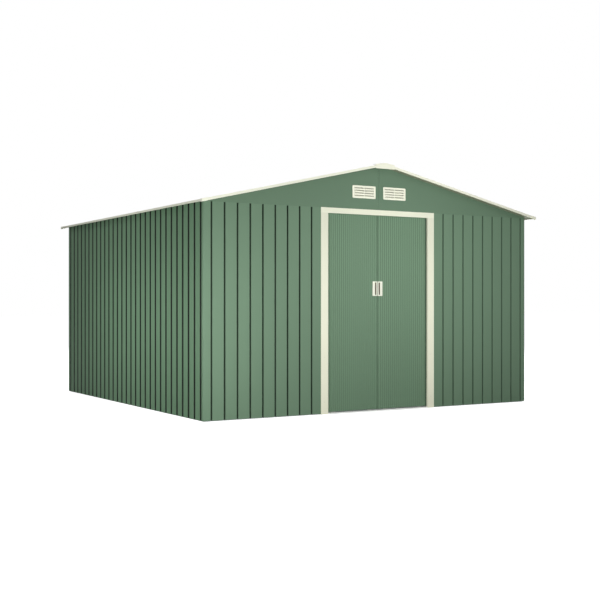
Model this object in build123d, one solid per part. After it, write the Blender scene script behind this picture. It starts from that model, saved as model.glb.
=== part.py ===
"""Metal storage shed with a low gable roof and two sliding doors, in millimetres.

The origin is on the ground, under the middle of the building. The front faces -Y and +Z is up.
"""
from build123d import *
import os
from math import atan2, cos, radians, sin, tan

# Walls
wall_width = 3275.0
wall_depth = 3242.0
wall_height = 1698.0
sheet_foot = 6.0
corner_radius = 12.0
sheet = 1.0

# Grooves pressed into the wall sheets
groove_pitch = 112.4
groove_offset = 7.5
groove_width = 16.0
groove_floor = 9.0
groove_depth = 13.0
side_groove_pitch = 111.6
side_groove_start = 43.0
plain_margin = 40.0

# Roof
roof_angle = 12.75
side_overhang = 50.0
gable_overhang = 90.0
roof_rib_pitch = 112.4
roof_rib_base = 22.0
roof_rib_top = 12.0
roof_rib_height = 9.0
roof_rib_start = 18.0
ridge_gap = 4.0
gable_lap = 6.0
seam_width = 10.0
seam_depth = 2.0
seam_gap = 0.5

# Trims and caps along the edges of the roof
trim = 1.2
trim_flange = 30.0
trim_lip = 8.0
fascia_drop = 9.0
eave_flange = 25.0
eave_face = 16.0
ridge_wing = 85.0
cap = 1.8
cap_front = 45.0
cap_side = 25.0
ridge_end_reach = 97.0
ridge_end_depth = 40.0
ridge_end_rise = 8.0
ridge_end_drop = 36.5

# Doorway
opening_width = 1019.0
header_height = 44.0
header_lap = 3.0
jamb_face = 69.0
jamb_metal = 1.5
sill_height = 10.0
sill_nose = 8.0

# Steel frame inside the sheets
steel = 1.5
rail_height = 30.0
rail_leg = 30.0
mid_rail_height = 40.0
mid_rail_level = 830.0
ridge_beam_width = 40.0
ridge_beam_height = 50.0
roof_beam_width = 30.0
roof_beam_height = 50.0
gable_post_width = 40.0
gable_post_depth = 18.0

# Track over the doors and guide under them
track_depth = 46.0
track_height = 30.0
slot_width = 10.0
guide_top = 12.0

# Door leaves
door_setback = 28.0
meeting_gap = 5.0
door_overlap = 14.0
door_clear = 5.0
door_sheet = 0.8
door_return = 16.0
fine_pitch = 20.48
fine_width = 8.0
fine_floor = 4.0
fine_depth = 2.5
door_rail_height = 30.0
door_rail_leg = 14.0
door_mid_rail_level = 850.0
runner_pitch = 360.0

# Runners and guide blocks
runner_length = 50.0
runner_width = 26.0
runner_height = 14.0
neck_length = 40.0
neck_width = 6.0
foot_width = 10.0
foot_height = 3.0
guide_width = 12.0
running_gap = 0.3

# Finger pulls
pull_level = 971.0
pull_height = 123.0
pull_width = 47.5
pull_proud = 4.0
pull_slot = 15.0
pull_slot_inset = 8.0
pull_rim = 10.0
pull_cup_depth = 12.0
pull_wall = 1.5
pull_corner = 4.0

# Gable vents
vent_width = 232.0
vent_height = 105.0
vent_offset = 155.5
vent_rise = 95.0
vent_plate = 3.0
vent_corner = 8.0
vent_slots = 4
vent_slot_pitch = 21.0
vent_slot_height = 9.0
vent_slot_length = 193.0
vent_mullion = 8.0
vent_blade = 1.2
vent_blade_depth = 10.0
vent_hole_margin = 14.0

# Small gap left where pieces seat on each other
seat = 0.2

# Places worked out from the sizes above
left = -wall_width / 2
front = -wall_depth / 2
inner = groove_depth + sheet
slope = tan(radians(roof_angle))
lean = radians(roof_angle)
pan_at_wall = wall_height + steel + seat
pan_at_ridge = pan_at_wall + wall_width / 2 * slope
rib_top_level = roof_rib_height + sheet
trim_top_level = rib_top_level + trim
cap_top_level = trim_top_level + cap
roof_half_width = wall_width / 2 + side_overhang
roof_half_depth = wall_depth / 2 + gable_overhang
opening_half = opening_width / 2
gable_bottom = wall_height - gable_lap
header_top = gable_bottom + header_lap
header_bottom = header_top - header_height
vent_level = gable_bottom + vent_rise
vent_middle = vent_level + vent_height / 2
track_bottom = wall_height - track_height
track_back = inner + track_depth
run_line = front + door_setback + fine_depth + door_sheet + door_rail_leg / 2
door_bottom = sill_height + door_clear
door_top = track_bottom - door_clear
door_width = opening_half + door_overlap - meeting_gap / 2


def plate_up(points, bottom, top):
    """Extrude a plan outline from one level to another."""
    outline = make_face(Polyline(*points, close=True))
    return Pos(0, 0, bottom) * extrude(outline, top - bottom)


def bar_along_x(points, start, end):
    """Extrude a (y, z) section along X."""
    section = Plane.YZ.offset(start) * make_face(Polyline(*points, close=True))
    return extrude(section, end - start, dir=(1, 0, 0))


def bar_along_y(points, start, end):
    """Extrude an (x, z) section along Y."""
    section = Plane.XZ.offset(-start) * make_face(Polyline(*points, close=True))
    return extrude(section, end - start, dir=(0, 1, 0))


def block(x_ends, y_ends, z_ends):
    """A plain block between two corners."""
    centre = Pos(sum(x_ends) / 2, sum(y_ends) / 2, sum(z_ends) / 2)
    return centre * Box(x_ends[1] - x_ends[0], y_ends[1] - y_ends[0], z_ends[1] - z_ends[0])


def to_right(shape):
    """The same piece on the right side."""
    return mirror(shape, about=Plane.YZ)


def to_back(shape):
    """The same piece at the back."""
    return mirror(shape, about=Plane.XZ)


def rib_outline(start, end, centres, base, top, height, metal):
    """Outline of a ribbed sheet seen end on, as (along, across) points."""
    mitre = metal * tan(atan2(height, (base - top) / 2) / 2)
    face = [(start, 0)]
    back = [(start, metal)]
    for centre in centres:
        for side, half, level in ((-1, base, 0), (-1, top, height), (1, top, height), (1, base, 0)):
            face.append((centre + side * half / 2, level))
            back.append((centre + side * (half / 2 + mitre), level + metal))
    face.append((end, 0))
    back.append((end, metal))
    return face + back[::-1]


def spread(start, end, pitch):
    """Places from start to end, as near to the pitch as fits a whole number of steps."""
    steps = max(1, round((end - start) / pitch))
    return [start + (end - start) * step / steps for step in range(steps + 1)]


def front_groove_places(offset):
    """Grooves across the full width, moved along by an offset, with a plain margin at each corner."""
    half = int((wall_width / 2 - plain_margin) / groove_pitch)
    return [offset + step * groove_pitch for step in range(-half, half + 1)]


def side_groove_places():
    """Grooves along a side wall, counted from the front corner."""
    count = int((wall_depth - side_groove_start - plain_margin) / side_groove_pitch) + 1
    return [front + side_groove_start + step * side_groove_pitch for step in range(count)]


def pan_level(x):
    """Height of the underside of the roof sheet at a distance from the middle."""
    return pan_at_ridge - abs(x) * slope


def above_roof(x, level):
    """Height of a plane that lies a level above the underside of the roof sheet."""
    return pan_level(x) + level / cos(lean)


def corner_bend():
    """The rounded end of a front sheet at the left front corner, in plan."""
    ring = Circle(corner_radius) - Circle(corner_radius - sheet)
    quarter = Pos(-corner_radius / 2, -corner_radius / 2) * Rectangle(corner_radius, corner_radius)
    bend = Pos(left + corner_radius, front + corner_radius) * (ring & quarter)
    return Pos(0, 0, sheet_foot) * extrude(bend, wall_height - sheet_foot)


def front_sheet(end, centres):
    """A front wall sheet from the left corner to a given end."""
    points = rib_outline(left + corner_radius, end, centres, groove_width, groove_floor, groove_depth, sheet)
    return plate_up([(x, front + y) for x, y in points], sheet_foot, wall_height)


def front_wall(offset):
    """The front sheet left of the doorway, with its grooves moved along by an offset."""
    end = -opening_half - jamb_metal - seat
    last = -opening_half - jamb_face - groove_width
    centres = [place for place in front_groove_places(offset) if place < last]
    return front_sheet(end, centres) + corner_bend()


def back_wall():
    """The back sheet, bent round both corners."""
    whole = front_sheet(-left - corner_radius, front_groove_places(groove_offset))
    return to_back(whole + corner_bend() + to_right(corner_bend()))


def side_wall():
    """The left wall sheet."""
    start = front + corner_radius
    points = rib_outline(start, -start, side_groove_places(), groove_width, groove_floor, groove_depth, sheet)
    return plate_up([(left + across, along) for along, across in points], sheet_foot, wall_height)


def gable_half():
    """The left half of the front gable, with its folded edge at the middle seam."""
    outer = left + corner_radius
    points = [
        (outer, -sheet),
        (-seam_width, -sheet),
        (-seam_gap, seam_depth - sheet),
        (-seam_gap, seam_depth),
        (-seam_width, 0),
        (outer, 0),
    ]
    half = plate_up([(x, front + y) for x, y in points], gable_bottom, pan_at_ridge)
    under_roof = [
        (outer, gable_bottom),
        (0, gable_bottom),
        (0, pan_level(0) - seat),
        (outer, pan_level(outer) - seat),
    ]
    half = half & bar_along_y(under_roof, front - corner_radius, front + corner_radius)
    seam_foot = (front - corner_radius, front + corner_radius)
    half -= block((-seam_width, 0), seam_foot, (gable_bottom, wall_height + seat))
    hole_height = vent_height - 2 * vent_hole_margin
    hole = Box(vent_slot_length, 4 * corner_radius, hole_height)
    return half - Pos(-vent_offset, front, vent_middle) * hole


def vent():
    """The left vent of the front gable: a plate with slots and sloping blades behind them."""
    plate = extrude(RectangleRounded(vent_width, vent_height, vent_corner), vent_plate)
    bars = Rectangle(vent_slot_length, vent_slot_height)
    bars -= Rectangle(vent_mullion, vent_slot_height)
    first = -(vent_slots - 1) / 2 * vent_slot_pitch
    for step in range(vent_slots):
        plate -= Pos(0, first + step * vent_slot_pitch) * extrude(bars, vent_plate)
    for step in range(vent_slots):
        low = first + step * vent_slot_pitch - vent_slot_height / 2
        blade_section = [
            (low - vent_blade, 0),
            (low, 0),
            (low + vent_slot_height, -vent_blade_depth),
            (low + vent_slot_height - vent_blade, -vent_blade_depth),
        ]
        blade = bar_along_x(blade_section, -vent_slot_length / 2, vent_slot_length / 2)
        plate += blade
    standing = Rot(90, 0, 0) * plate
    return Pos(-vent_offset, front - sheet, vent_middle) * standing


def jamb():
    """The left door jamb: a face plate, a hem on the wall and a return into the doorway."""
    inner_edge = -opening_half
    outer_edge = inner_edge - jamb_face
    face = -sheet - jamb_metal
    points = [
        (inner_edge, face),
        (inner_edge, inner),
        (inner_edge - jamb_metal, inner),
        (inner_edge - jamb_metal, face + jamb_metal),
        (outer_edge + jamb_metal, face + jamb_metal),
        (outer_edge + jamb_metal, 0),
        (outer_edge, 0),
        (outer_edge, face),
    ]
    return plate_up([(x, front + y) for x, y in points], 0, header_bottom)


def header():
    """The header: a face plate over the doorway and jambs, with a channel between them."""
    reach = opening_half + jamb_face
    face = front - sheet - jamb_metal
    back = front + inner
    plate = block((-reach, reach), (face, face + jamb_metal), (header_bottom, header_top))
    for side in (-1, 1):
        end = sorted((side * reach, side * (reach - jamb_metal)))
        plate += block(end, (face, front), (header_bottom, gable_bottom - seat))
    section = [
        (face, header_bottom),
        (back, header_bottom),
        (back, wall_height - jamb_metal),
        (back - jamb_metal, wall_height - jamb_metal),
        (back - jamb_metal, header_bottom + jamb_metal),
        (face, header_bottom + jamb_metal),
    ]
    return plate + bar_along_x(section, -opening_half, opening_half)


def sill():
    """The low sill between the jambs."""
    section = [
        (front - sill_nose, 0),
        (front - sill_nose, sill_height - sill_nose / 2),
        (front - sill_nose / 2, sill_height),
        (front + inner, sill_height),
        (front + inner, 0),
    ]
    return bar_along_x(section, -opening_half + seat, opening_half - seat)


def door_track():
    """The channel that the door runners hang in, across the whole front."""
    near = front + inner
    far = front + track_back
    slot_near = run_line - slot_width / 2
    slot_far = run_line + slot_width / 2
    section = [
        (near, track_bottom),
        (slot_near, track_bottom),
        (slot_near, track_bottom + steel),
        (near + steel, track_bottom + steel),
        (near + steel, wall_height - steel),
        (far - steel, wall_height - steel),
        (far - steel, track_bottom + steel),
        (slot_far, track_bottom + steel),
        (slot_far, track_bottom),
        (far, track_bottom),
        (far, wall_height),
        (near, wall_height),
    ]
    return bar_along_x(section, left + inner, -left - inner)


def front_floor_rail():
    """The front floor rail, with the upright fin that guides the doors."""
    near = front + inner
    far = front + track_back
    section = [
        (near, 0),
        (far, 0),
        (far, steel),
        (run_line + steel / 2, steel),
        (run_line + steel / 2, guide_top),
        (run_line - steel / 2, guide_top),
        (run_line - steel / 2, steel),
        (near + steel, steel),
        (near + steel, sill_height),
        (near, sill_height),
    ]
    return bar_along_x(section, left + inner, -left - inner)


def angle_points(corner, across, along, rise, metal):
    """An angle section: one leg runs sideways from the corner and one runs up or down."""
    up = metal if rise > 0 else -metal
    x, z = corner
    return [
        (x, z),
        (x + across, z),
        (x + across, z + up),
        (x + along, z + up),
        (x + along, z + rise),
        (x, z + rise),
    ]


def back_floor_rail():
    """The back floor rail, an angle with one leg on the ground."""
    section = angle_points((front + inner, 0), rail_leg, steel, rail_height, steel)
    return to_back(bar_along_x(section, left + inner, -left - inner))


def side_floor_rail():
    """The left floor rail, between the front and back rails."""
    section = angle_points((left + inner, 0), rail_leg, steel, rail_height, steel)
    return bar_along_y(section, front + track_back, -front - inner - rail_leg)


def back_top_rail():
    """The back top rail, an angle with its flat leg at the top of the wall."""
    section = angle_points((front + inner, wall_height), rail_leg, steel, -rail_height, steel)
    return to_back(bar_along_x(section, left + inner, -left - inner))


def side_top_rail():
    """The left top rail: a flange on the wall's edge and a leg inside the wall."""
    flange_end = left + inner + rail_leg
    flange_y = (front + corner_radius, -front - corner_radius)
    flange = block((left, flange_end), flange_y, (wall_height, wall_height + steel))
    leg_x = (left + inner, left + inner + steel)
    leg_y = (front + track_back, -front - inner - rail_leg)
    return flange + block(leg_x, leg_y, (wall_height - rail_height, wall_height))


def channel_points(corner, height, leg):
    """A channel section that stands on its corner, with its legs running sideways."""
    x, z = corner
    return [
        (x, z),
        (x + leg, z),
        (x + leg, z + steel),
        (x + steel, z + steel),
        (x + steel, z + height - steel),
        (x + leg, z + height - steel),
        (x + leg, z + height),
        (x, z + height),
    ]


def side_mid_rail():
    """The channel across the middle of the left wall."""
    section = channel_points((left + inner, mid_rail_level), mid_rail_height, rail_leg / 2)
    return bar_along_y(section, front + track_back, -front - inner - rail_leg / 2)


def back_mid_rail():
    """The channel across the middle of the back wall."""
    section = channel_points((front + inner, mid_rail_level), mid_rail_height, rail_leg / 2)
    return to_back(bar_along_x(section, left + inner, -left - inner))


def ridge_beam():
    """The channel under the ridge, open at the bottom."""
    half = ridge_beam_width / 2
    top = pan_level(half) - seat
    low = top - ridge_beam_height
    section = [
        (-half, low),
        (-half + steel, low),
        (-half + steel, top - steel),
        (half - steel, top - steel),
        (half - steel, low),
        (half, low),
        (half, top),
        (-half, top),
    ]
    return bar_along_y(section, front + seam_depth + seat, -front - seam_depth - seat)


def roof_beam():
    """The channel under the middle of the left roof slope."""
    outer = left / 2 - roof_beam_width / 2
    top = pan_level(outer) - seat
    section = channel_points((outer, top - roof_beam_height), roof_beam_height, roof_beam_width)
    return bar_along_y(section, front + seat, -front - seat)


def gable_post():
    """The channel behind the seam of the front gable, from the track to the ridge beam."""
    half = gable_post_width / 2
    depth = gable_post_depth
    points = [
        (-half, 0),
        (-half + steel, 0),
        (-half + steel, depth - steel),
        (half - steel, depth - steel),
        (half - steel, 0),
        (half, 0),
        (half, depth),
        (-half, depth),
    ]
    top = pan_level(ridge_beam_width / 2) - seat - ridge_beam_height
    return plate_up([(x, front + y) for x, y in points], wall_height, top)


def on_right_slope(shape):
    """Lay a piece, drawn flat from the ridge out along X, on the right roof slope."""
    return Pos(0, 0, pan_at_ridge) * Rot(0, roof_angle, 0) * shape


def roof_sheet():
    """The right roof sheet, with ribs that run down the slope."""
    edge = roof_half_depth - trim - seat
    rib_line = roof_half_depth - roof_rib_start
    places = spread(-rib_line, rib_line, roof_rib_pitch)
    points = rib_outline(-edge, edge, places, roof_rib_base, roof_rib_top, roof_rib_height, sheet)
    run = (roof_half_width - trim - seat - rib_top_level * sin(lean)) / cos(lean)
    return on_right_slope(bar_along_x(points, ridge_gap, run))


def roof_band(x_start, x_end, low, high):
    """Section of a band of the right slope between two levels over the roof sheet."""
    return [
        (x_start, above_roof(x_start, low)),
        (x_end, above_roof(x_end, low)),
        (x_end, above_roof(x_end, high)),
        (x_start, above_roof(x_start, high)),
    ]


def ridge_cap():
    """The folded cap over the ridge."""
    reach = ridge_wing * cos(lean)
    wing = bar_along_y(roof_band(0, reach, rib_top_level, trim_top_level), -roof_half_depth, roof_half_depth)
    return wing + to_right(wing)


def gable_trim():
    """The trim on the front edge of the right roof slope."""
    face = -roof_half_depth
    points = [
        (face, trim_top_level),
        (face + trim_flange, trim_top_level),
        (face + trim_flange, rib_top_level),
        (face + trim, rib_top_level),
        (face + trim, trim - fascia_drop),
        (face + trim_lip, trim - fascia_drop),
        (face + trim_lip, -fascia_drop),
        (face, -fascia_drop),
    ]
    start = ridge_wing + trim_top_level * sin(lean)
    end = (roof_half_width - trim_top_level * sin(lean)) / cos(lean) - eave_flange - trim
    return on_right_slope(bar_along_x(points, start, end))


def eave_trim():
    """The trim on the right eave."""
    face = roof_half_width
    flange_end = face - eave_flange * cos(lean)
    top = above_roof(face, trim_top_level)
    low = top - eave_face
    section = [
        (face, top),
        (flange_end, above_roof(flange_end, trim_top_level)),
        (flange_end, above_roof(flange_end, rib_top_level)),
        (face - trim, above_roof(face - trim, rib_top_level)),
        (face - trim, low + trim),
        (face - trim_lip, low + trim),
        (face - trim_lip, low),
        (face, low),
    ]
    return bar_along_y(section, -roof_half_depth, roof_half_depth)


def corner_cap():
    """The cap over the right front corner of the roof."""
    inside_x = roof_half_width - cap_front
    inside_y = -roof_half_depth + cap_side
    outer = roof_band(inside_x, roof_half_width + cap, -fascia_drop - cap, cap_top_level)
    shell = bar_along_y(outer, -roof_half_depth - cap, inside_y)
    hollow = roof_band(inside_x - cap, roof_half_width, -2 * fascia_drop, trim_top_level)
    return shell - bar_along_y(hollow, -roof_half_depth, inside_y + cap)


def ridge_end_outline(reach, bottom, level):
    """A five-sided outline of the cap, flat at the bottom and lower than the roof's slope at the top."""
    shoulder = above_roof(reach, level + ridge_end_rise)
    return [
        (-reach, bottom),
        (reach, bottom),
        (reach, shoulder),
        (0, above_roof(0, level)),
        (-reach, shoulder),
    ]


def ridge_end_cap():
    """The cap over the front end of the ridge."""
    inside_y = -roof_half_depth + ridge_end_depth
    bottom = pan_at_ridge - ridge_end_drop
    outer = ridge_end_outline(ridge_end_reach, bottom, cap_top_level)
    hollow = ridge_end_outline(ridge_end_reach + cap, bottom - cap, trim_top_level)
    shell = bar_along_y(outer, -roof_half_depth - cap, inside_y)
    return shell - bar_along_y(hollow, -roof_half_depth, inside_y + cap)


def pull_cup_ends():
    """Ends of the finger slot of the left pull, across and up."""
    near = -meeting_gap / 2 - seat - pull_slot_inset
    slot_x = (near - pull_slot, near)
    slot_z = (pull_level + pull_rim, pull_level + pull_height - pull_rim)
    return slot_x, slot_z


def widened(ends, amount):
    """The same stretch, longer by an amount at each end."""
    return ends[0] - amount, ends[1] + amount


def door_panel():
    """The left door leaf: a finely grooved sheet with its sides folded back."""
    outer = -meeting_gap / 2 - door_width
    edge = -meeting_gap / 2
    face = front + door_setback
    count = int(door_width / fine_pitch)
    places = [edge - fine_pitch * (step + 0.5) for step in reversed(range(count))]
    points = rib_outline(outer, edge, places, fine_width, fine_floor, fine_depth, door_sheet)
    panel = plate_up([(x, face + y) for x, y in points], door_bottom, door_top)
    for side in ((outer, outer + door_sheet), (edge - door_sheet, edge)):
        panel += block(side, (face, face + door_return), (door_bottom, door_top))
    slot_x, slot_z = pull_cup_ends()
    gap = pull_wall + seat
    through = (face - pull_proud, face + pull_cup_depth)
    return panel - block(widened(slot_x, gap), through, widened(slot_z, gap))


def door_rail(level):
    """A channel across the back of the left leaf."""
    back = front + door_setback + fine_depth + door_sheet
    section = channel_points((back, level), door_rail_height, door_rail_leg)
    start = -meeting_gap / 2 - door_width + door_sheet + seat
    end = -meeting_gap / 2 - door_sheet - seat
    return bar_along_x(section, start, end)


def top_rail_level():
    """Bottom of the top rail of a door leaf."""
    return door_top - door_clear - door_rail_height


def bottom_rail_level():
    """Bottom of the bottom rail of a door leaf."""
    return door_bottom + door_sheet + seat


def door_rails():
    """The top, middle and bottom rails of the left leaf."""
    return [door_rail(level) for level in (bottom_rail_level(), door_mid_rail_level, top_rail_level())]


def runner(x):
    """A hanger with its foot on the top rail and its head in the track."""
    foot_bottom = top_rail_level() + door_rail_height
    head_bottom = track_bottom + steel + running_gap
    half_neck = neck_length / 2
    half_head = runner_length / 2
    foot_y = widened((run_line, run_line), foot_width / 2)
    neck_y = widened((run_line, run_line), neck_width / 2)
    head_y = widened((run_line, run_line), runner_width / 2)
    foot = block((x - half_neck, x + half_neck), foot_y, (foot_bottom, foot_bottom + foot_height))
    neck = block((x - half_neck, x + half_neck), neck_y, (foot_bottom, head_bottom))
    head = block((x - half_head, x + half_head), head_y, (head_bottom, head_bottom + runner_height))
    return foot + neck + head


def guide(x):
    """A block under the bottom rail that straddles the fin of the floor rail."""
    top = bottom_rail_level()
    half = neck_length / 2
    guide_y = widened((run_line, run_line), guide_width / 2)
    slot_y = widened((run_line, run_line), steel / 2 + running_gap)
    body = block((x - half, x + half), guide_y, (2 * steel, top))
    return body - block((x - 2 * half, x + 2 * half), slot_y, (0, guide_top + 2 * running_gap))


def runners():
    """The two hangers and two guides of the left leaf."""
    middle = -meeting_gap / 2 - door_width / 2
    places = [middle - runner_pitch / 2, middle + runner_pitch / 2]
    return [runner(x) for x in places] + [guide(x) for x in places]


def pull():
    """The finger pull of the left leaf: a plate with a cup let into the sheet."""
    face = front + door_setback
    near = -meeting_gap / 2 - seat
    plate = RectangleRounded(pull_width, pull_height, pull_corner)
    body = Rot(90, 0, 0) * extrude(plate, pull_proud)
    body = Pos(near - pull_width / 2, face, pull_level + pull_height / 2) * body
    slot_x, slot_z = pull_cup_ends()
    cup_back = face + pull_cup_depth - seat
    body += block(widened(slot_x, pull_wall), (face, cup_back), widened(slot_z, pull_wall))
    return body - block(slot_x, (face - pull_proud, cup_back - pull_wall), slot_z)


def fourfold(shape):
    """The piece at the right front, left front, right back and left back."""
    return [shape, to_right(shape), to_back(shape), to_back(to_right(shape))]


def name_pieces():
    """Every node's name with the solids it holds."""
    nodes = {}
    for side, place in (("left", lambda shape: shape), ("right", to_right)):
        nodes["front_wall_" + side] = place(front_wall(groove_offset if side == "left" else -groove_offset))
        nodes[side + "_wall"] = place(side_wall())
        nodes["front_gable_" + side] = place(gable_half())
        nodes["back_gable_" + side] = to_back(place(gable_half()))
        nodes["front_vent_" + side] = place(vent())
        nodes["back_vent_" + side] = to_back(place(vent()))
        nodes["door_jamb_" + side] = place(jamb())
        nodes[side + "_floor_rail"] = place(side_floor_rail())
        nodes[side + "_top_rail"] = place(side_top_rail())
        nodes[side + "_mid_rail"] = place(side_mid_rail())
        nodes["door_" + side + "_panel"] = place(door_panel())
        nodes["door_" + side + "_rails"] = [place(rail) for rail in door_rails()]
        nodes["door_" + side + "_runners"] = [place(piece) for piece in runners()]
        nodes["door_" + side + "_pull"] = place(pull())
    for side, place in (("right", lambda shape: shape), ("left", to_right)):
        nodes["roof_" + side] = place(roof_sheet())
        nodes["front_trim_" + side] = place(gable_trim())
        nodes["back_trim_" + side] = to_back(place(gable_trim()))
        nodes["eave_trim_" + side] = place(eave_trim())
    nodes["back_wall"] = back_wall()
    nodes["door_header"] = header()
    nodes["door_sill"] = sill()
    nodes["door_track"] = door_track()
    nodes["front_floor_rail"] = front_floor_rail()
    nodes["back_floor_rail"] = back_floor_rail()
    nodes["back_top_rail"] = back_top_rail()
    nodes["back_mid_rail"] = back_mid_rail()
    nodes["gable_posts"] = [gable_post(), to_back(gable_post())]
    nodes["roof_beams"] = [roof_beam(), ridge_beam(), to_right(roof_beam())]
    nodes["ridge_cap"] = ridge_cap()
    nodes["ridge_end_caps"] = [ridge_end_cap(), to_back(ridge_end_cap())]
    nodes["corner_caps"] = fourfold(corner_cap())
    return nodes


def main():
    os.makedirs("parts", exist_ok=True)
    for name, piece in name_pieces().items():
        pieces = piece if isinstance(piece, list) else [piece]
        solids = [solid for one in pieces for solid in one.solids()]
        shape = solids[0] if len(solids) == 1 else Compound(children=solids)
        export_step(shape, "parts/" + name + ".step")


main()
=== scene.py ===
"""Looks of the metal storage shed: materials, fasteners, light and camera, in metres."""
import bpy
from math import cos, pi, radians, sin, tan
from mathutils import Matrix, Vector


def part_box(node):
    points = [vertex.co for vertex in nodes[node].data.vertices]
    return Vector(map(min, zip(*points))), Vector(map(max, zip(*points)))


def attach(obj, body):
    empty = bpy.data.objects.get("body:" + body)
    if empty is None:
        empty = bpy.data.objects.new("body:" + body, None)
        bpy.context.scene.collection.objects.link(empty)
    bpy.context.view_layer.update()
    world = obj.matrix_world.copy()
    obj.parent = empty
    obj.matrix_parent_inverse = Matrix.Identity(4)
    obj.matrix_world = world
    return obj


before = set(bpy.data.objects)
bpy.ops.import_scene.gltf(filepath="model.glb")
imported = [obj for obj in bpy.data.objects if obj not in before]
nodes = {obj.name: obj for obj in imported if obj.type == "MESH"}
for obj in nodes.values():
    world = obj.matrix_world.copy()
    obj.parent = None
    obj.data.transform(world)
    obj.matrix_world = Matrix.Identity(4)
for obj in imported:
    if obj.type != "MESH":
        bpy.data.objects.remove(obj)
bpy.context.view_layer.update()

# Directions
to_left = (-1, 0, 0)
to_right = (1, 0, 0)
to_front = (0, -1, 0)
to_back = (0, 1, 0)
upward = (0, 0, 1)

# Camera, from the lines of the walls in the photograph
camera_place = (-5.0480, -8.8489, 0.9105)
camera_turn = 30.58
camera_lens = 62.466
camera_shift = 0.00517
sensor_width = 36.0

# Light, sky and floor
front_lamp_distance = 1.6
front_lamp_size = (0.7, 0.7)
sky_strength = 0.12
floor_reach = 60.0
floor_albedo = 0.45
floor_seen_albedo = 0.6
floor_glow_outdoors = 0.95
# The floor's glow under the roof is dimmed as painted shade
floor_glow_painted_shade_indoors = 0.14
indoors_start = 0.02
indoors_full = 0.06

# Colours as sRGB bytes
wall_green = (113, 140, 116)
side_green = (106, 140, 110)
# A darker copy of the wall green, as painted shade on the gables
gable_green_painted_shade = (107, 133, 110)
roof_green = (112, 140, 116)
door_green = (118, 147, 121)
primer = (146, 151, 128)
trim_cream = (239, 241, 219)
# A paler copy of the trim cream, as painted light on the eaves, the verges and the ridge cap
trim_cream_painted_light = (252, 253, 233)
# Jamb creams: paler at the foot as painted light, darker at the top as painted shade
jamb_foot_painted_light = (254, 254, 230)
jamb_top_painted_shade = (230, 232, 210)
pull_cream = (236, 238, 220)
# Painted shade in the finger recesses of the pulls
pull_shade = (150, 139, 122)
plastic_cream = (252, 253, 232)
zinc = (164, 168, 170)
aluminium = (250, 251, 249)
nylon = (196, 196, 190)
screw_zinc = (176, 178, 176)
washer_grey = (206, 208, 200)
# Near black, as painted shade of the slit between the leaves
seal_slit_shade = (24, 29, 25)

# Painted shade in the grooves, a dark line in each, darkest on the side walls and lightest on the front
# wall's right part: shade, half width, and half width with the soft edge
front_left_groove_shade = (0.17, 0.006, 0.008)
front_right_groove_shade = (0.6, 0.006, 0.008)
side_groove_shade = (0.03, 0.010, 0.020)
door_groove_shade = (0.8, 0.003, 0.005)

# Tone and grain of paint. Streaks run along the axes with a small number
cloud_scale = 1.3
cloud_shades = (0.965, 1.035)
streak_scale = 34.0
streak_shade = 0.95
streak_share = 0.35
streaks_upright = (1.0, 1.0, 0.04)
streaks_along_x = (0.04, 1.0, 1.0)
streaks_along_y = (1.0, 0.04, 1.0)
streaks_level = (0.1, 0.1, 1.0)
grain_scale = 420.0
grain_depth = 0.00003
sheet_patch_scale = 5.0
sheet_roughness = (0.55, 0.65)
sheet_specular = 0.1
sheet_edge_blend = 0.02
trim_patch_scale = 7.0
trim_roughness = (0.5, 0.6)
trim_specular = 0.2
# Heights over which the jamb turns from its painted light to its painted shade
jamb_light_blend = (0.2, 1.5)

# Plastic and bare metal
plastic_cloud_scale = 9.0
plastic_patch_scale = 60.0
plastic_shades = (0.97, 1.02)
plastic_roughness = (0.4, 0.52)
plastic_specular = 0.45
plastic_grain_scale = 1400.0
plastic_grain_depth = 0.00002
zinc_shades = (0.78, 1.08)
zinc_roughness = (0.3, 0.48)
zinc_metallic = 0.9
spangle_scale = 90.0
brushed_shades = (0.92, 1.04)
brushed_roughness = (0.4, 0.5)
brushed_metallic = 0.05
brushed_scale = 900.0
brushed_streaks = (0.01, 1.0, 1.0)
brushed_depth = 0.00002
metal_specular = 0.5
# Soft edge of the painted shade in the pulls' recesses
recess_shade_blend = 0.002

# Soft edges of moulded pieces
weld_distance = 0.00001
bevel_angle = 35
moulded_bevel = 0.0008
vent_bevel = 0.0006

# The part's own sizes that paint and fasteners line up with
wall_low, wall_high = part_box("front_wall_left")
wall_left = wall_low.x
wall_front = wall_low.y
wall_height = wall_high.z
roof_angle = radians(12.75)
roof_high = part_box("roof_right")[1]
roof_half_depth = roof_high.y
roof_half_width = roof_high.x
roof_pan = 0.001
roof_flange = 0.0112
roof_rib_start = 0.018
roof_rib_pitch = 0.1124
sheet_seat = 0.0017
pan_at_ridge = wall_height + sheet_seat - wall_left * tan(roof_angle)
roof_beam_line = -wall_left / 2
ridge_wing_line = 0.06
sheet = 0.001
front_groove_pitch = 0.1124
front_groove_offset = 0.0075
first_groove = 6
last_groove = 14
side_groove_pitch = 0.1116
side_groove_start = 0.043
side_grooves = 29
rail_inset = 0.016
floor_rail_line = 0.03
mid_rail_line = 0.85
jamb_low, jamb_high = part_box("door_jamb_left")
header_low, header_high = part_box("door_header")
vent_low, vent_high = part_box("front_vent_left")

# Door leaves
leaf_low, leaf_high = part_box("door_left_panel")
leaf_face = wall_front + 0.028
leaf_rail_lines = (0.031, 0.865, 1.643)
fine_pitch = 0.02048
fine_grooves = 25
# Painted shadow of the jamb on each leaf's outer edge: where it starts from the middle, its soft edge and
# its shade
jamb_shadow_start = 0.511
jamb_shadow_blend = 0.002
jamb_shadow_shade = 0.08
pull_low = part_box("door_left_pull")[0]
pull_lip = 0.003
seal_recess = 0.007
seal_width = 0.0042
seal_thick = 0.008

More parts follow.
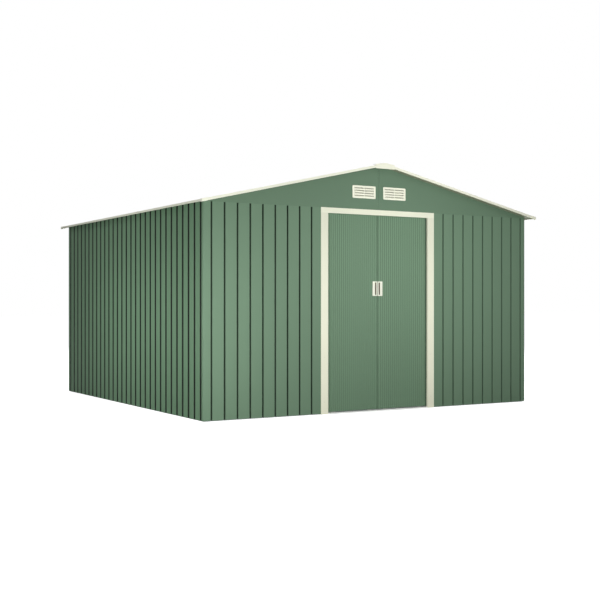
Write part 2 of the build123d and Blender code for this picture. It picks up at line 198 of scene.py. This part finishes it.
# Fasteners. The profiles are (radius, height) as shares of the whole
head_radius = 0.0042
head_height = 0.0016
head_sides = 12
head_profile = ((1.0, 0.0), (1.0, 0.3), (0.86, 0.66), (0.6, 0.92))
cross_arm = 0.42
cross_waist = 0.17
cross_taper = 0.7
cross_floor = 0.45
washer_radius = 0.0065
washer_height = 0.0008
washer_profile = ((1.0, 0.0), (1.0, 0.6), (0.8, 1.0))
screw_stride = 3
doorway_clear = 0.4
corner_screw_line = 0.024
corner_screw_end = 0.06
seam_screw_line = 0.015
seam_screw_start = 0.05
seam_screw_end = 0.28
eave_screw_line = 0.012
eave_screw_reach = 1.5
verge_screw_start = 0.25
verge_screw_end = 0.1
jamb_screw_start = 0.1
jamb_screw_end = 0.08
header_screw_reach = 0.5
vent_screw_side = 0.011
vent_screw_end = 0.009
rivet_stride = 4
anchor_line = 0.031
anchor_level = 0.0015
anchor_reach = 1.35


def linear(colour, shade=1.0):
    """An sRGB colour, in bytes, as linear RGBA."""
    channels = []
    for byte in colour:
        value = byte / 255
        value = value / 12.92 if value <= 0.04045 else ((value + 0.055) / 1.055) ** 2.4
        channels.append(value * shade)
    return (*channels, 1.0)


class Surface:
    """A material under construction, with its Principled shader and short names for nodes."""

    def __init__(self, name):
        self.material = bpy.data.materials.new(name)
        self.material.use_nodes = True
        self.tree = self.material.node_tree
        self.shader = self.tree.nodes["Principled BSDF"]

    def node(self, kind, **settings):
        """A new node with its settings."""
        made = self.tree.nodes.new(kind)
        for key, value in settings.items():
            setattr(made, key, value)
        return made

    def link(self, source, target):
        """A link between two sockets."""
        self.tree.links.new(source, target)

    def place(self, stretch=(1.0, 1.0, 1.0)):
        """The point on the object, stretched along its axes."""
        coords = self.node("ShaderNodeTexCoord")
        mapping = self.node("ShaderNodeMapping")
        mapping.inputs["Scale"].default_value = stretch
        self.link(coords.outputs["Object"], mapping.inputs["Vector"])
        return mapping.outputs["Vector"]

    def noise(self, scale, stretch=(1.0, 1.0, 1.0), detail=3.0):
        """Noise from 0 to 1 that sits on the object."""
        texture = self.node("ShaderNodeTexNoise")
        texture.inputs["Scale"].default_value = scale
        texture.inputs["Detail"].default_value = detail
        self.link(self.place(stretch), texture.inputs["Vector"])
        return texture.outputs["Fac"]

    def between(self, factor, low, high):
        """A factor from 0 to 1 spread between two values."""
        spread = self.node("ShaderNodeMapRange")
        spread.inputs["To Min"].default_value = low
        spread.inputs["To Max"].default_value = high
        self.link(factor, spread.inputs["Value"])
        return spread.outputs["Result"]

    def band(self, value, start, full):
        """0 up to start and 1 from full on. Full may be the smaller of the two."""
        spread = self.node("ShaderNodeMapRange")
        spread.inputs["From Min"].default_value = start
        spread.inputs["From Max"].default_value = full
        self.link(value, spread.inputs["Value"])
        return spread.outputs["Result"]

    def mix(self, factor, first, second):
        """One colour turning into another. Each is RGBA or a socket."""
        blend = self.node("ShaderNodeMix", data_type="RGBA")
        for socket, value in (("A", first), ("B", second)):
            target = next(s for s in blend.inputs if s.name == socket and s.type == "RGBA")
            if isinstance(value, tuple):
                target.default_value = value
            else:
                self.link(value, target)
        self.link(factor, blend.inputs["Factor"])
        return next(s for s in blend.outputs if s.type == "RGBA")

    def shaded(self, factor, colour, shades):
        """A colour that wanders between two shades of itself."""
        low, high = shades
        return self.mix(factor, linear(colour, low), linear(colour, high))

    def facing(self, direction):
        """How far the surface faces a direction, from -1 to 1."""
        geometry = self.node("ShaderNodeNewGeometry")
        dot = self.node("ShaderNodeVectorMath", operation="DOT_PRODUCT")
        dot.inputs[1].default_value = direction
        self.link(geometry.outputs["True Normal"], dot.inputs[0])
        return dot.outputs["Value"]

    def along(self, direction):
        """The object's own coordinate along a direction, in metres."""
        dot = self.node("ShaderNodeVectorMath", operation="DOT_PRODUCT")
        dot.inputs[1].default_value = direction
        self.link(self.place(), dot.inputs[0])
        return dot.outputs["Value"]

    def folded(self, value, start, half):
        """The distance from the nearest of the places that lie two halves apart, counted from start."""
        shifted = self.node("ShaderNodeMath", operation="SUBTRACT")
        shifted.inputs[1].default_value = start
        self.link(value, shifted.inputs[0])
        wave = self.node("ShaderNodeMath", operation="PINGPONG")
        wave.inputs[1].default_value = half
        self.link(shifted.outputs[0], wave.inputs[0])
        return wave.outputs[0]

    def bump(self, height, distance):
        """Fine relief, of a depth in metres."""
        made = self.node("ShaderNodeBump")
        made.inputs["Distance"].default_value = distance
        made.inputs["Strength"].default_value = 1.0
        self.link(height, made.inputs["Height"])
        self.link(made.outputs["Normal"], self.shader.inputs["Normal"])

    def finish(self, colour, roughness, specular, metallic=0.0):
        """The finished material."""
        self.link(colour, self.shader.inputs["Base Color"])
        self.link(roughness, self.shader.inputs["Roughness"])
        self.shader.inputs["Specular IOR Level"].default_value = specular
        self.shader.inputs["Metallic"].default_value = metallic
        return self.material


def paint_tone(surface, colour, streaks):
    """A painted colour with faint cloudy and rolled-in tone."""
    clouds = surface.noise(cloud_scale, detail=2.0)
    lines = surface.noise(streak_scale, streaks, detail=2.0)
    cloudy = surface.shaded(clouds, colour, cloud_shades)
    dull = linear(colour, streak_shade)
    return surface.mix(surface.between(lines, 0.0, streak_share), cloudy, dull)


def paint_grain(surface):
    """The fine grain of paint."""
    surface.bump(surface.noise(grain_scale, detail=2.0), grain_depth)


def sheet_paint(name, colour, outward, grooves=None, streaks=streaks_upright, jamb_shadow=None):
    """Paint on a steel sheet: colour on the outer side, primer on the inner side.

    grooves, where given, are the first groove's place along the sheet, their pitch, and what the dark
    line of painted shade in them has: its shade, its half width, and its half width with the soft edge.
    The last argument, where given, is how far from the middle of the building the painted shadow of
    the jamb on the sheet's edge starts.
    """
    surface = Surface(name)
    outer = paint_tone(surface, colour, streaks)
    # A dark line of painted shade in each groove
    if grooves is not None:
        first, pitch, shade, line, reach = grooves
        sideways = surface.along(to_right if outward[0] == 0 else to_back)
        from_middle = surface.folded(sideways, first, pitch / 2)
        in_groove_shade = surface.band(from_middle, reach, line)
        outer = surface.mix(in_groove_shade, outer, linear(colour, shade))
    # Painted shadow of the jamb over the sheet's outer edge
    if jamb_shadow is not None:
        from_centre = surface.folded(surface.along(to_right), 0.0, 1.0)
        in_jamb_shadow = surface.band(from_centre, jamb_shadow, jamb_shadow + jamb_shadow_blend)
        outer = surface.mix(in_jamb_shadow, outer, linear(colour, jamb_shadow_shade))
    inner = paint_tone(surface, primer, streaks)
    is_outer = surface.band(surface.facing(outward), -sheet_edge_blend, 0.0)
    paint_grain(surface)
    patches = surface.noise(sheet_patch_scale, streaks)
    tone = surface.mix(is_outer, inner, outer)
    return surface.finish(tone, surface.between(patches, *sheet_roughness), sheet_specular)


def trim_finish(surface, tone):
    """The grain and sheen of paint on a folded steel trim."""
    paint_grain(surface)
    rough = surface.between(surface.noise(trim_patch_scale), *trim_roughness)
    return surface.finish(tone, rough, trim_specular)


def plain_paint(name, colour, streaks=streaks_upright):
    """Paint of one colour on a trim or a screw."""
    surface = Surface(name)
    return trim_finish(surface, paint_tone(surface, colour, streaks))


def jamb_paint(name, low_colour, high_colour):
    """Paint on a jamb, paler towards the ground as painted light and darker towards the top as painted
    shade.
    """
    surface = Surface(name)
    low = paint_tone(surface, low_colour, streaks_upright)
    high = paint_tone(surface, high_colour, streaks_upright)
    tone = surface.mix(surface.band(surface.along(upward), *jamb_light_blend), low, high)
    return trim_finish(surface, tone)


def moulded(name, colour, recess_shade=None):
    """Moulded plastic with a fine spark texture. The last argument, where given, is the depth past which
    a recess is painted darker as painted shade, and the colour of that shade.
    """
    surface = Surface(name)
    tone = surface.shaded(surface.noise(plastic_cloud_scale), colour, plastic_shades)
    # Painted shade in the recess
    if recess_shade is not None:
        depth, shade = recess_shade
        in_recess_shade = surface.band(surface.along(to_back), depth, depth + recess_shade_blend)
        tone = surface.mix(in_recess_shade, tone, linear(shade))
    surface.bump(surface.noise(plastic_grain_scale, detail=1.0), plastic_grain_depth)
    rough = surface.between(surface.noise(plastic_patch_scale), *plastic_roughness)
    return surface.finish(tone, rough, plastic_specular)


def galvanised(name, colour):
    """Zinc with its flowered spangle."""
    surface = Surface(name)
    cells = surface.node("ShaderNodeTexVoronoi")
    cells.inputs["Scale"].default_value = spangle_scale
    surface.link(surface.place(), cells.inputs["Vector"])
    grey = surface.node("ShaderNodeRGBToBW")
    surface.link(cells.outputs["Color"], grey.inputs["Color"])
    tone = surface.shaded(grey.outputs["Val"], colour, zinc_shades)
    rough = surface.between(grey.outputs["Val"], *zinc_roughness)
    return surface.finish(tone, rough, metal_specular, zinc_metallic)


def brushed(name, colour):
    """Aluminium with fine lines along X."""
    surface = Surface(name)
    lines = surface.noise(brushed_scale, brushed_streaks)
    tone = surface.shaded(lines, colour, brushed_shades)
    surface.bump(lines, brushed_depth)
    rough = surface.between(lines, *brushed_roughness)
    return surface.finish(tone, rough, metal_specular, brushed_metallic)


def give(material, *names):
    """Put one material on all slots of the named nodes."""
    for name in names:
        mesh = nodes[name].data
        if not mesh.materials:
            mesh.materials.append(material)
        for slot in nodes[name].material_slots:
            slot.material = material


def round_edges(width, *names):
    """Soften the edges of named nodes."""
    for name in names:
        weld = nodes[name].modifiers.new("weld", "WELD")
        weld.merge_threshold = weld_distance
        bevel = nodes[name].modifiers.new("bevel", "BEVEL")
        bevel.width = width
        bevel.segments = 2
        bevel.limit_method = "ANGLE"
        bevel.angle_limit = radians(bevel_angle)


def dress_walls():
    """Paint of the walls, the gables and the roof."""
    across = (front_groove_offset, front_groove_pitch)
    along = (wall_front + side_groove_start, side_groove_pitch)
    # Painted shade in the grooves, darker on the front's left part than on its right part
    left_grooves = across + front_left_groove_shade
    right_grooves = across + front_right_groove_shade
    side = along + side_groove_shade
    give(sheet_paint("paint_front_left", wall_green, to_front, left_grooves), "front_wall_left")
    give(sheet_paint("paint_front_right", wall_green, to_front, right_grooves), "front_wall_right")
    give(sheet_paint("paint_back", wall_green, to_back, left_grooves), "back_wall")
    give(sheet_paint("paint_left", side_green, to_left, side), "left_wall")
    give(sheet_paint("paint_right", side_green, to_right, side), "right_wall")
    give(sheet_paint("paint_gable_front", gable_green_painted_shade, to_front), "front_gable_left", "front_gable_right")
    give(sheet_paint("paint_gable_back", gable_green_painted_shade, to_back), "back_gable_left", "back_gable_right")
    roof = sheet_paint("paint_roof", roof_green, upward, streaks=streaks_along_x)
    give(roof, "roof_left", "roof_right")


def dress_leaves():
    """Paint of the two door leaves. The grooves of each are counted from the edge where they meet."""
    for side, meeting in (("left", leaf_high.x), ("right", -leaf_high.x)):
        fine = (meeting + fine_pitch / 2, fine_pitch) + door_groove_shade
        # Painted shade in the fine grooves, and the jamb's painted shadow on the leaf's outer edge
        leaf = sheet_paint("paint_door_" + side, door_green, to_front, fine, jamb_shadow=jamb_shadow_start)
        give(leaf, "door_" + side + "_panel")


def dress_trims():
    """Paint of the doorway's frame and of the trims along the roof, these in a paler cream as painted
    light.
    """
    give(jamb_paint("paint_jambs", jamb_foot_painted_light, jamb_top_painted_shade), "door_jamb_left", "door_jamb_right")
    give(plain_paint("paint_header", trim_cream), "door_header")
    give(plain_paint("paint_eaves", trim_cream_painted_light, streaks_along_y), "eave_trim_left", "eave_trim_right")
    trims = ["front_trim_left", "front_trim_right", "back_trim_left", "back_trim_right", "ridge_cap"]
    give(plain_paint("paint_trims", trim_cream_painted_light, streaks_level), *trims)


def dress_small_parts():
    """Plastic of the pulls, caps, vents and runners, and the bare metal of the frame and the sill."""
    pulls = ["door_left_pull", "door_right_pull"]
    caps = ["ridge_end_caps", "corner_caps"]
    vents = ["front_vent_left", "front_vent_right", "back_vent_left", "back_vent_right"]
    steel = [name for name in nodes if name.endswith(("_rail", "_rails"))]
    steel += ["door_track", "gable_posts", "roof_beams"]
    # Painted shade in the pulls' finger recesses, from a lip's depth behind their face
    recess = (pull_low.y + pull_lip, pull_shade)
    give(moulded("pull_plastic", pull_cream, recess_shade=recess), *pulls)
    give(moulded("cream_plastic", plastic_cream), *caps, *vents)
    give(galvanised("galvanised_steel", zinc), *steel)
    give(brushed("sill_aluminium", aluminium), "door_sill")
    give(moulded("runner_nylon", nylon), "door_left_runners", "door_right_runners")
    round_edges(moulded_bevel, *pulls, *caps)
    round_edges(vent_bevel, *vents)


def screw_rings():
    """Rings of a pan head with a cross recess, as lists of (radius, height) round the head."""
    rings = [[ring] * head_sides for ring in head_profile]
    arm = head_sides // 4
    star = [cross_arm if step % arm == 0 else cross_waist for step in range(head_sides)]
    rings.append([(radius, 1.0) for radius in star])
    rings.append([(radius * cross_taper, cross_floor) for radius in star])
    return rings


def add_rings(points, faces, place, rings, radius, height):
    """Add a closed turned shape to a mesh under construction."""
    start = len(points)
    sides = len(rings[0])
    for ring in rings:
        for step, (across, up) in enumerate(ring):
            angle = 2 * pi * step / sides
            spot = Vector((across * radius * cos(angle), across * radius * sin(angle), up * height))
            points.append(place @ spot)
    for level in range(len(rings) - 1):
        for step in range(sides):
            near = start + level * sides
            far = near + sides
            after = (step + 1) % sides
            faces.append((near + step, near + after, far + after, far + step))
    faces.append(tuple(start + sides - 1 - step for step in range(sides)))
    faces.append(tuple(start + (len(rings) - 1) * sides + step for step in range(sides)))


def upright(spot, normal):
    """The place of a fastener that stands on a surface."""
    turn = Vector(upward).rotation_difference(Vector(normal)).to_matrix().to_4x4()
    return Matrix.Translation(Vector(spot)) @ turn


def new_object(name, points, faces, material):
    """A mesh in the scene, with one material."""
    mesh = bpy.data.meshes.new(name)
    mesh.from_pydata(points, [], faces)
    mesh.materials.append(material)
    made = bpy.data.objects.new(name, mesh)
    bpy.context.scene.collection.objects.link(made)
    return made


def fastener_piece(name, spots, material, body="shed", washer=False, size=1.0):
    """One piece with all the screws or washers of a kind. spots are (place, normal)."""
    points = []
    faces = []
    head = screw_rings()
    rim = [[ring] * head_sides for ring in washer_profile]
    for spot, normal in spots:
        place = upright(spot, normal)
        if washer:
            add_rings(points, faces, place, rim, washer_radius, washer_height)
        else:
            add_rings(points, faces, place, head, head_radius * size, head_height * size)
    piece = new_object(name, points, faces, material)
    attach(piece, body)


def levels(low, high, count):
    """Evenly spaced values, ends included."""
    return [low + (high - low) * step / (count - 1) for step in range(count)]


def wall_screws():
    """Screws through the wall sheets into the rails and along the corners."""
    spots = []
    rail_lines = (floor_rail_line, mid_rail_line, wall_height - rail_inset)
    beside_doorway = front_groove_pitch * (first_groove + doorway_clear)
    for side in (-1, 1):
        x = side * -wall_left
        for step in range(0, side_grooves - 1, screw_stride):
            y = wall_front + side_groove_start + side_groove_pitch * (step + 0.5)
            spots += [((x, y, z), (side, 0, 0)) for z in rail_lines]
    for step in range(-last_groove, last_groove, screw_stride):
        x = front_groove_offset + front_groove_pitch * (step + 0.5)
        spots += [((x, -wall_front, z), to_back) for z in rail_lines]
        if abs(x) > beside_doorway:
            spots.append(((x, wall_front, wall_height - rail_inset), to_front))
    for x in (wall_left + corner_screw_line, -wall_left - corner_screw_line):
        for z in levels(corner_screw_end, wall_height - corner_screw_end, count=7):
            spots.append(((x, wall_front, z), to_front))
            spots.append(((x, -wall_front, z), to_back))
    return spots


def gable_screws():
    """Screws beside the seam of each gable, into the post behind it."""
    spots = []
    heights = levels(wall_height + seam_screw_start, wall_height + seam_screw_end, count=3)
    for facing in (-1, 1):
        y = facing * (sheet - wall_front)
        for x in (-seam_screw_line, seam_screw_line):
            spots += [((x, y, z), (0, facing, 0)) for z in heights]
    return spots


def on_roof(side, x, y, level):
    """A spot on one slope of the roof, at a level over the underside of the sheet, and its normal."""
    z = pan_at_ridge - x * tan(roof_angle) + level / cos(roof_angle)
    return (side * x, y, z), (side * sin(roof_angle), 0, cos(roof_angle))


def roof_spots():
    """Washered screws in the pans of the roof, over the roof beams and the top rails."""
    rib_line = roof_half_depth - roof_rib_start
    steps = round(2 * rib_line / roof_rib_pitch)
    pitch = 2 * rib_line / steps
    spots = []
    for side in (-1, 1):
        for step in range(1, steps, 2):
            y = -rib_line + pitch * (step + 0.5)
            for x in (roof_beam_line, -wall_left - rail_inset):
                if abs(y) < -wall_front:
                    spots.append(on_roof(side, x, y, roof_pan))
    return spots


def roof_trim_screws():
    """Screws through the flanges of the ridge cap and of the trims along the roof."""
    spots = []
    verge = roof_half_depth - roof_rib_start
    eave = roof_half_width - eave_screw_line
    for side in (-1, 1):
        for y in levels(-verge, verge, count=11):
            spots.append(on_roof(side, ridge_wing_line, y, roof_flange))
        for y in levels(-eave_screw_reach, eave_screw_reach, count=9):
            spots.append(on_roof(side, eave, y, roof_flange))
        for x in levels(verge_screw_start, roof_half_width - verge_screw_end, count=5):
            spots += [on_roof(side, x, y, roof_flange) for y in (-verge, verge)]
    return spots


def doorway_screws():
    """Screws through the jambs and the header of the doorway."""
    spots = []
    face = jamb_low.y
    middle = (jamb_low.x + jamb_high.x) / 2
    for x in (middle, -middle):
        for z in levels(jamb_screw_start, header_low.z - jamb_screw_end, count=5):
            spots.append(((x, face, z), to_front))
    band = (header_low.z + header_high.z) / 2
    across = levels(-header_screw_reach, header_screw_reach, count=5)
    spots += [((x, face, band), to_front) for x in across]
    return spots


def vent_screws():
    """Screws in the corners of the four vents."""
    spots = []
    outer = vent_low.x + vent_screw_side
    inner = vent_high.x - vent_screw_side
    for x in (outer, inner, -outer, -inner):
        for z in (vent_low.z + vent_screw_end, vent_high.z - vent_screw_end):
            spots += [((x, facing * -vent_low.y, z), (0, facing, 0)) for facing in (-1, 1)]
    return spots


def leaf_rivets(side):
    """Rivets through one leaf's sheet into its three rails."""
    spots = []
    for step in range(1, fine_grooves, rivet_stride):
        x = side * (-leaf_high.x + fine_pitch * step)
        spots += [((x, leaf_face, z), to_front) for z in leaf_rail_lines]
    return spots


def floor_anchors():
    """Bolts that would hold the side and back floor rails to a base."""
    spots = []
    side_line_x = -wall_left - anchor_line
    back_line_y = -wall_front - anchor_line
    places = levels(-anchor_reach, anchor_reach, count=7)
    for side in (-1, 1):
        spots += [((side * side_line_x, y, anchor_level), upward) for y in places]
    spots += [((x, back_line_y, anchor_level), upward) for x in places]
    return spots


def meeting_seal():
    """A strip on the left leaf's edge that narrows the slit between the leaves; its dark colour is
    painted shade of the slit.
    """
    low = Vector((leaf_high.x, leaf_low.y + seal_recess, leaf_low.z))
    high = Vector((leaf_high.x + seal_width, low.y + seal_thick, leaf_high.z))
    points = [(x, y, z) for z in (low.z, high.z) for y in (low.y, high.y) for x in (low.x, high.x)]
    faces = [(0, 2, 3, 1), (4, 5, 7, 6), (0, 1, 5, 4), (2, 6, 7, 3), (0, 4, 6, 2), (1, 3, 7, 5)]
    piece = new_object("meeting_seal", points, faces, moulded("seal_slit_shade", seal_slit_shade))
    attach(piece, "door_left")


def fasteners():
    """All the screws, rivets and bolts."""
    green = plain_paint("paint_screws_green", wall_green)
    cream = plain_paint("paint_screws_cream", trim_cream)
    metal = galvanised("screw_metal", screw_zinc)
    rubber = moulded("washer_plastic", washer_grey)
    pans = roof_spots()
    lifted = [(Vector(spot) + Vector(normal) * washer_height, normal) for spot, normal in pans]
    fastener_piece("wall_screws", wall_screws(), green)
    fastener_piece("gable_screws", gable_screws(), green)
    fastener_piece("trim_screws", roof_trim_screws() + doorway_screws(), cream)
    fastener_piece("vent_screws", vent_screws(), cream, size=0.7)
    fastener_piece("roof_washers", pans, rubber, washer=True)
    fastener_piece("roof_screws", lifted, metal)
    fastener_piece("floor_anchors", floor_anchors(), metal, size=1.3)
    fastener_piece("door_left_rivets", leaf_rivets(-1), green, "door_left", size=0.6)
    fastener_piece("door_right_rivets", leaf_rivets(1), green, "door_right", size=0.6)


def camera():
    """The camera at the photograph's viewpoint."""
    scene = bpy.context.scene
    lens = bpy.data.cameras.new("camera")
    lens.lens = camera_lens
    lens.sensor_width = sensor_width
    lens.shift_y = camera_shift
    eye = bpy.data.objects.new("camera", lens)
    eye.location = camera_place
    eye.rotation_euler = (radians(90), 0, -radians(camera_turn))
    scene.collection.objects.link(eye)
    scene.camera = eye
    scene.view_settings.view_transform = "Standard"


def area_lamp(name, place, target, size, power):
    """A soft lamp that points at a target. size is its length and height, power is in watts."""
    data = bpy.data.lights.new(name, "AREA")
    data.shape = "RECTANGLE"
    data.size, data.size_y = size
    data.energy = power
    lamp = bpy.data.objects.new(name, data)
    lamp.location = place
    aim = Vector(target) - Vector(place)
    lamp.rotation_euler = aim.to_track_quat("-Z", "Y").to_euler()
    lamp.visible_camera = False
    bpy.context.scene.collection.objects.link(lamp)


def front_lamp(name, x, level, power, aim=None):
    """A soft lamp before the front wall. It points straight at the wall unless aim gives another x."""
    place = (x, wall_front - front_lamp_distance, level)
    target = (x if aim is None else aim, wall_front, level)
    area_lamp(name, place, target, front_lamp_size, power)


def side_lamp(name, wall, distance, middle, level, size, power):
    """A soft lamp that points straight at a side wall, from a distance along X."""
    area_lamp(name, (wall + distance, middle, level), (wall, middle, level), size, power)


def lamps():
    """Soft lamps near the front and both sides, and broad ones over the back and the roof."""
    front_lamp("corner", x=-2.2, level=0.82, power=29.2, aim=-1.5)
    front_lamp("doorway", x=0.1, level=1.36, power=12.8)
    front_lamp("right", x=1.1, level=1.0, power=6.7)
    front_lamp("ridge", x=0.1, level=2.3, power=3.6)
    front_lamp("roof_end", x=1.75, level=2.3, power=2.6)
    side_lamp("side", wall_left, -1.15, middle=-0.45, level=0.78, size=(2.6, 0.4), power=11.2)
    side_lamp("far_side", -wall_left, 1.6, middle=0.1, level=0.9, size=(2.6, 0.8), power=24.0)
    area_lamp("eave", (wall_left - 1.2, 0.4, 2.9), (wall_left, 0.4, 1.66), size=(3.0, 0.3), power=4.5)
    area_lamp("back", (4.5, 8.0, 5.5), (0.3, 1.0, 1.0), size=(3.0, 3.0), power=700.0)
    area_lamp("roof", (0.0, 0.0, 6.0), (0.0, 0.0, 2.0), size=(2.4, 2.4), power=110.0)


def seen_rays(tree):
    """1 for rays that come from the camera or a mirror-like or clear surface."""
    path = tree.nodes.new("ShaderNodeLightPath")
    either = path.outputs["Is Camera Ray"]
    for name in ("Is Glossy Ray", "Is Transmission Ray"):
        larger = tree.nodes.new("ShaderNodeMath")
        larger.operation = "MAXIMUM"
        tree.links.new(either, larger.inputs[0])
        tree.links.new(path.outputs[name], larger.inputs[1])
        either = larger.outputs[0]
    return either


def white_world():
    """White surroundings that light the object more softly than they look."""
    world = bpy.data.worlds.new("surroundings")
    bpy.context.scene.world = world
    world.use_nodes = True
    tree = world.node_tree
    background = tree.nodes["Background"]
    background.inputs["Color"].default_value = (1, 1, 1, 1)
    strength = tree.nodes.new("ShaderNodeMapRange")
    strength.inputs["To Min"].default_value = sky_strength
    strength.inputs["To Max"].default_value = 1.0
    tree.links.new(seen_rays(tree), strength.inputs["Value"])
    tree.links.new(strength.outputs["Result"], background.inputs["Strength"])


def under_roof(tree):
    """1 on the floor inside the walls, where the floor is dimmed as painted shade, 0 in the open."""
    coords = tree.nodes.new("ShaderNodeTexCoord")
    split = tree.nodes.new("ShaderNodeSeparateXYZ")
    product = tree.nodes.new("ShaderNodeMath")
    product.operation = "MULTIPLY"
    tree.links.new(coords.outputs["Object"], split.inputs[0])
    for slot, axis, half in ((0, "X", -wall_left), (1, "Y", -wall_front)):
        size = tree.nodes.new("ShaderNodeMath")
        size.operation = "ABSOLUTE"
        inside = tree.nodes.new("ShaderNodeMapRange")
        inside.inputs["From Min"].default_value = half - indoors_start
        inside.inputs["From Max"].default_value = half - indoors_full
        tree.links.new(split.outputs[axis], size.inputs[0])
        tree.links.new(size.outputs[0], inside.inputs["Value"])
        tree.links.new(inside.outputs["Result"], product.inputs[slot])
    return product.outputs[0]


def matt(tree, albedo):
    """A matt grey shader."""
    shader = tree.nodes.new("ShaderNodeBsdfDiffuse")
    shader.inputs["Color"].default_value = (albedo, albedo, albedo, 1)
    return shader


def floor_material():
    """Plain grey for the object's own light, white in the open and, as it is seen, dimmed indoors as
    painted shade.
    """
    material = bpy.data.materials.new("floor_white")
    material.use_nodes = True
    tree = material.node_tree
    tree.nodes.remove(tree.nodes["Principled BSDF"])
    plain = matt(tree, floor_albedo)
    seen = matt(tree, floor_seen_albedo)
    glow = tree.nodes.new("ShaderNodeEmission")
    strength = tree.nodes.new("ShaderNodeMapRange")
    strength.inputs["To Min"].default_value = floor_glow_outdoors
    strength.inputs["To Max"].default_value = floor_glow_painted_shade_indoors
    tree.links.new(under_roof(tree), strength.inputs["Value"])
    tree.links.new(strength.outputs["Result"], glow.inputs["Strength"])
    lit = tree.nodes.new("ShaderNodeAddShader")
    choose = tree.nodes.new("ShaderNodeMixShader")
    tree.links.new(seen.outputs[0], lit.inputs[0])
    tree.links.new(glow.outputs[0], lit.inputs[1])
    tree.links.new(seen_rays(tree), choose.inputs[0])
    tree.links.new(plain.outputs[0], choose.inputs[1])
    tree.links.new(lit.outputs[0], choose.inputs[2])
    tree.links.new(choose.outputs[0], tree.nodes["Material Output"].inputs["Surface"])
    return material


def white_floor():
    """A flat floor that keeps the object's shadow."""
    ends = (-floor_reach, floor_reach)
    corners = [(x, y, 0) for y in ends for x in ends]
    floor = new_object("floor", corners, [(0, 1, 3, 2)], floor_material())


camera()
lamps()
white_world()
white_floor()
dress_walls()
dress_leaves()
dress_trims()
dress_small_parts()
meeting_seal()
fasteners()
